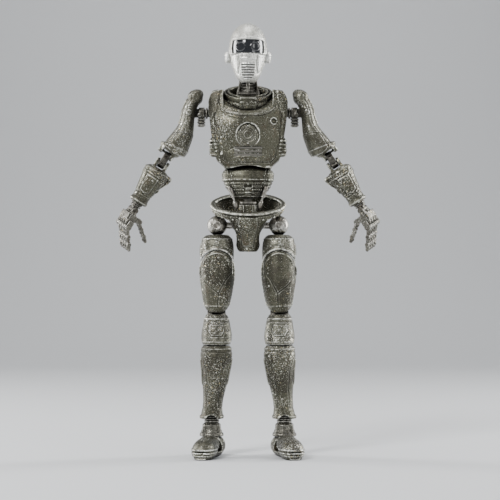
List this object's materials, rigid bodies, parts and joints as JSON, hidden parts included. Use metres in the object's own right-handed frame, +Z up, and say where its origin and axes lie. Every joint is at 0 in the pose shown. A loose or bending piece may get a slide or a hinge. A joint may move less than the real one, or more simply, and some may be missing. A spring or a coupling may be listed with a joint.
{
  "type": "posable humanoid robot figure",
  "caption": "Free-standing posable humanoid robot figure with friction-jointed neck, waist, arms, hands, legs and feet.",
  "frame": {"origin": "on the floor, at the bottom centre of the standing figure's bounding box", "axes": "+Z up, the figure faces -Y, its left side is +X"},
  "size_m": [0.184, 0.0485, 0.3],
  "materials": {
    "bronze": "weathered",
    "pale": "weathered",
    "silver": "satin",
    "dark": "satin",
    "bone": "satin",
    "glass": "gloss"
  },
  "bodies": {
    "pelvis": {"pelvis_shell": "bronze", "pelvis_core": "dark"},
    "waist": {"waist_post": "dark", "waist_buckle": "bronze"},
    "abdomen": {"abdomen": "bronze"},
    "chest": {"chest_frame": "dark", "chest_front": "bronze", "chest_back": "bronze", "chest_cover": "pale", "chest_vents": "dark", "side_pods": "bronze", "collar_ring": "pale"},
    "neck": {"neck": "dark"},
    "head": {"head_shell": "bone", "visor": "glass", "jaw": "bone", "left_ear_disc": "bone", "right_ear_disc": "bone"},
    "left_shoulder": {"left_shoulder_hub": "silver"},
    "left_upper_arm": {"left_upper_arm": "pale"},
    "left_elbow": {"left_elbow_link": "silver"},
    "left_forearm": {"left_forearm": "bronze"},
    "left_wrist": {"left_wrist": "silver"},
    "left_palm": {"left_palm": "silver"},
    "left_thumb": {"left_thumb": "silver"},
    "left_finger_1": {"left_finger_1": "silver"},
    "left_finger_2": {"left_finger_2": "silver"},
    "left_finger_3": {"left_finger_3": "silver"},
    "left_finger_4": {"left_finger_4": "silver"},
    "left_hip": {"left_hip_ball": "silver"},
    "left_thigh_cap": {"left_thigh_cap": "pale"},
    "left_thigh": {"left_thigh": "bronze", "left_thigh_guard": "bronze"},
    "left_knee": {"left_knee_link": "dark", "left_knee_cap": "pale"},
    "left_shin": {"left_shin": "bronze"},
    "left_ankle": {"left_ankle": "silver"},
    "left_foot": {"left_foot": "bronze"},
    "left_toe": {"left_toe_cap": "pale"},
    "right_shoulder": {"right_shoulder_hub": "silver"},
    "right_upper_arm": {"right_upper_arm": "pale"},
    "right_elbow": {"right_elbow_link": "silver"},
    "right_forearm": {"right_forearm": "bronze"},
    "right_wrist": {"right_wrist": "silver"},
    "right_palm": {"right_palm": "silver"},
    "right_thumb": {"right_thumb": "silver"},
    "right_finger_1": {"right_finger_1": "silver"},
    "right_finger_2": {"right_finger_2": "silver"},
    "right_finger_3": {"right_finger_3": "silver"},
    "right_finger_4": {"right_finger_4": "silver"},
    "right_hip": {"right_hip_ball": "silver"},
    "right_thigh_cap": {"right_thigh_cap": "pale"},
    "right_thigh": {"right_thigh": "bronze", "right_thigh_guard": "bronze"},
    "right_knee": {"right_knee_link": "dark", "right_knee_cap": "pale"},
    "right_shin": {"right_shin": "bronze"},
    "right_ankle": {"right_ankle": "silver"},
    "right_foot": {"right_foot": "bronze"},
    "right_toe": {"right_toe_cap": "pale"}
  },
  "joints": [
    {"name": "waist_twist", "type": "hinge", "parent": "pelvis", "child": "waist", "pos_m": [0, 0.005, 0.1676], "axis": [0, 0, 1], "range_deg": [-35, 35]},
    {"name": "waist_bend", "type": "hinge", "parent": "waist", "child": "abdomen", "pos_m": [0, 0.005, 0.184], "axis": [1, 0, 0], "range_deg": [-8, 15]},
    {"name": "chest_crunch", "type": "hinge", "parent": "abdomen", "child": "chest", "pos_m": [0, 0.005, 0.2015], "axis": [1, 0, 0], "range_deg": [-6, 8]},
    {"name": "neck_pitch", "type": "hinge", "parent": "chest", "child": "neck", "pos_m": [0, 0.005, 0.25], "axis": [1, 0, 0], "range_deg": [-12, 15]},
    {"name": "head_turn", "type": "hinge", "parent": "neck", "child": "head", "pos_m": [0, 0.005, 0.2626], "axis": [0, 0, 1], "range_deg": [-60, 60]},
    {"name": "left_shoulder_swing", "type": "hinge", "parent": "chest", "child": "left_shoulder", "pos_m": [0.0319, 0.005, 0.2378], "axis": [-1, 0, 0], "range_deg": [-40, 120]},
    {"name": "left_arm_raise", "type": "hinge", "parent": "left_shoulder", "child": "left_upper_arm", "pos_m": [0.0408, 0.005, 0.2378], "axis": [0, -1, 0], "range_deg": [-4, 20]},
    {"name": "left_elbow_upper", "type": "hinge", "parent": "left_upper_arm", "child": "left_elbow", "pos_m": [0.05629, 0.005, 0.208], "axis": [-0.8453, 0, -0.5344], "range_deg": [0, 40]},
    {"name": "left_elbow_lower", "type": "hinge", "parent": "left_elbow", "child": "left_forearm", "pos_m": [0.05971, 0.005, 0.20259], "axis": [-0.8453, 0, -0.5344], "range_deg": [0, 40]},
    {"name": "left_wrist_twist", "type": "hinge", "parent": "left_forearm", "child": "left_wrist", "pos_m": [0.07676, 0.005, 0.17563], "axis": [0.5344, 0, -0.8453], "range_deg": [-80, 80]},
    {"name": "left_wrist_flex", "type": "hinge", "parent": "left_wrist", "child": "left_palm", "pos_m": [0.07959, 0.005, 0.17115], "axis": [0.4226, 0.866, 0.2672], "range_deg": [-20, 20]},
    {"name": "left_thumb_bend", "type": "hinge", "parent": "left_palm", "child": "left_thumb", "pos_m": [0.0762, 0.00436, 0.16286], "axis": [0.4226, 0.866, 0.2672], "range_deg": [-10, 35]},
    {"name": "left_finger_1_bend", "type": "hinge", "parent": "left_palm", "child": "left_finger_1", "pos_m": [0.08357, -0.0002, 0.15924], "axis": [0.4226, 0.866, 0.2672], "range_deg": [-15, 33]},
    {"name": "left_finger_2_bend", "type": "hinge", "parent": "left_palm", "child": "left_finger_2", "pos_m": [0.08526, 0.00327, 0.16031], "axis": [0.4226, 0.866, 0.2672], "range_deg": [-15, 33]},
    {"name": "left_finger_3_bend", "type": "hinge", "parent": "left_palm", "child": "left_finger_3", "pos_m": [0.08695, 0.00673, 0.16137], "axis": [0.4226, 0.866, 0.2672], "range_deg": [-15, 60]},
    {"name": "left_finger_4_bend", "type": "hinge", "parent": "left_palm", "child": "left_finger_4", "pos_m": [0.08864, 0.0102, 0.16244], "axis": [0.4226, 0.866, 0.2672], "range_deg": [-15, 60]},
    {"name": "left_hip_swing", "type": "hinge", "parent": "pelvis", "child": "left_hip", "pos_m": [0.0213, 0.005, 0.16], "axis": [-1, 0, 0], "range_deg": [-20, 60]},
    {"name": "left_thigh_twist", "type": "hinge", "parent": "left_hip", "child": "left_thigh_cap", "pos_m": [0.0213, 0.005, 0.152], "axis": [0, 0, -1], "range_deg": [-30, 25]},
    {"name": "left_thigh_splay", "type": "hinge", "parent": "left_thigh_cap", "child": "left_thigh", "pos_m": [0.0213, 0.005, 0.1313], "axis": [0, -1, 0], "range_deg": [-4, 22]},
    {"name": "left_knee_upper", "type": "hinge", "parent": "left_thigh", "child": "left_knee", "pos_m": [0.0218, 0.005, 0.097], "axis": [1, 0, 0], "range_deg": [0, 55]},
    {"name": "left_knee_lower", "type": "hinge", "parent": "left_knee", "child": "left_shin", "pos_m": [0.0218, 0.005, 0.08], "axis": [1, 0, 0], "range_deg": [0, 55]},
    {"name": "left_ankle_pitch", "type": "hinge", "parent": "left_shin", "child": "left_ankle", "pos_m": [0.0253, 0.0085, 0.027], "axis": [1, 0, 0], "range_deg": [-18, 18]},
    {"name": "left_ankle_roll", "type": "hinge", "parent": "left_ankle", "child": "left_foot", "pos_m": [0.0253, 0.0085, 0.0096], "axis": [-0.2079, 0.9781, 0], "range_deg": [-6, 6]},
    {"name": "left_toe_lift", "type": "hinge", "parent": "left_foot", "child": "left_toe", "pos_m": [0.02821, -0.00519, 0.0038], "axis": [-0.9781, -0.2079, 0], "range_deg": [0, 25]},
    {"name": "right_shoulder_swing", "type": "hinge", "parent": "chest", "child": "right_shoulder", "pos_m": [-0.0319, 0.005, 0.2378], "axis": [-1, 0, 0], "range_deg": [-40, 120]},
    {"name": "right_arm_raise", "type": "hinge", "parent": "right_shoulder", "child": "right_upper_arm", "pos_m": [-0.0408, 0.005, 0.2378], "axis": [0, 1, 0], "range_deg": [-4, 20]},
    {"name": "right_elbow_upper", "type": "hinge", "parent": "right_upper_arm", "child": "right_elbow", "pos_m": [-0.05629, 0.005, 0.208], "axis": [-0.8453, 0, 0.5344], "range_deg": [0, 40]},
    {"name": "right_elbow_lower", "type": "hinge", "parent": "right_elbow", "child": "right_forearm", "pos_m": [-0.05971, 0.005, 0.20259], "axis": [-0.8453, 0, 0.5344], "range_deg": [0, 40]},
    {"name": "right_wrist_twist", "type": "hinge", "parent": "right_forearm", "child": "right_wrist", "pos_m": [-0.07676, 0.005, 0.17563], "axis": [0.5344, 0, 0.8453], "range_deg": [-80, 80]},
    {"name": "right_wrist_flex", "type": "hinge", "parent": "right_wrist", "child": "right_palm", "pos_m": [-0.07959, 0.005, 0.17115], "axis": [0.4226, -0.866, -0.2672], "range_deg": [-20, 20]},
    {"name": "right_thumb_bend", "type": "hinge", "parent": "right_palm", "child": "right_thumb", "pos_m": [-0.0762, 0.00436, 0.16286], "axis": [0.4226, -0.866, -0.2672], "range_deg": [-10, 35]},
    {"name": "right_finger_1_bend", "type": "hinge", "parent": "right_palm", "child": "right_finger_1", "pos_m": [-0.08357, -0.0002, 0.15924], "axis": [0.4226, -0.866, -0.2672], "range_deg": [-15, 33]},
    {"name": "right_finger_2_bend", "type": "hinge", "parent": "right_palm", "child": "right_finger_2", "pos_m": [-0.08526, 0.00327, 0.16031], "axis": [0.4226, -0.866, -0.2672], "range_deg": [-15, 33]},
    {"name": "right_finger_3_bend", "type": "hinge", "parent": "right_palm", "child": "right_finger_3", "pos_m": [-0.08695, 0.00673, 0.16137], "axis": [0.4226, -0.866, -0.2672], "range_deg": [-15, 60]},
    {"name": "right_finger_4_bend", "type": "hinge", "parent": "right_palm", "child": "right_finger_4", "pos_m": [-0.08864, 0.0102, 0.16244], "axis": [0.4226, -0.866, -0.2672], "range_deg": [-15, 60]},
    {"name": "right_hip_swing", "type": "hinge", "parent": "pelvis", "child": "right_hip", "pos_m": [-0.0213, 0.005, 0.16], "axis": [-1, 0, 0], "range_deg": [-20, 60]},
    {"name": "right_thigh_twist", "type": "hinge", "parent": "right_hip", "child": "right_thigh_cap", "pos_m": [-0.0213, 0.005, 0.152], "axis": [0, 0, 1], "range_deg": [-30, 25]},
    {"name": "right_thigh_splay", "type": "hinge", "parent": "right_thigh_cap", "child": "right_thigh", "pos_m": [-0.0213, 0.005, 0.1313], "axis": [0, 1, 0], "range_deg": [-4, 22]},
    {"name": "right_knee_upper", "type": "hinge", "parent": "right_thigh", "child": "right_knee", "pos_m": [-0.0218, 0.005, 0.097], "axis": [1, 0, 0], "range_deg": [0, 55]},
    {"name": "right_knee_lower", "type": "hinge", "parent": "right_knee", "child": "right_shin", "pos_m": [-0.0218, 0.005, 0.08], "axis": [1, 0, 0], "range_deg": [0, 55]},
    {"name": "right_ankle_pitch", "type": "hinge", "parent": "right_shin", "child": "right_ankle", "pos_m": [-0.0253, 0.0085, 0.027], "axis": [1, 0, 0], "range_deg": [-18, 18]},
    {"name": "right_ankle_roll", "type": "hinge", "parent": "right_ankle", "child": "right_foot", "pos_m": [-0.0253, 0.0085, 0.0096], "axis": [-0.2079, -0.9781, 0], "range_deg": [-6, 6]},
    {"name": "right_toe_lift", "type": "hinge", "parent": "right_foot", "child": "right_toe", "pos_m": [-0.02821, -0.00519, 0.0038], "axis": [-0.9781, 0.2079, 0], "range_deg": [0, 25]}
  ]
}
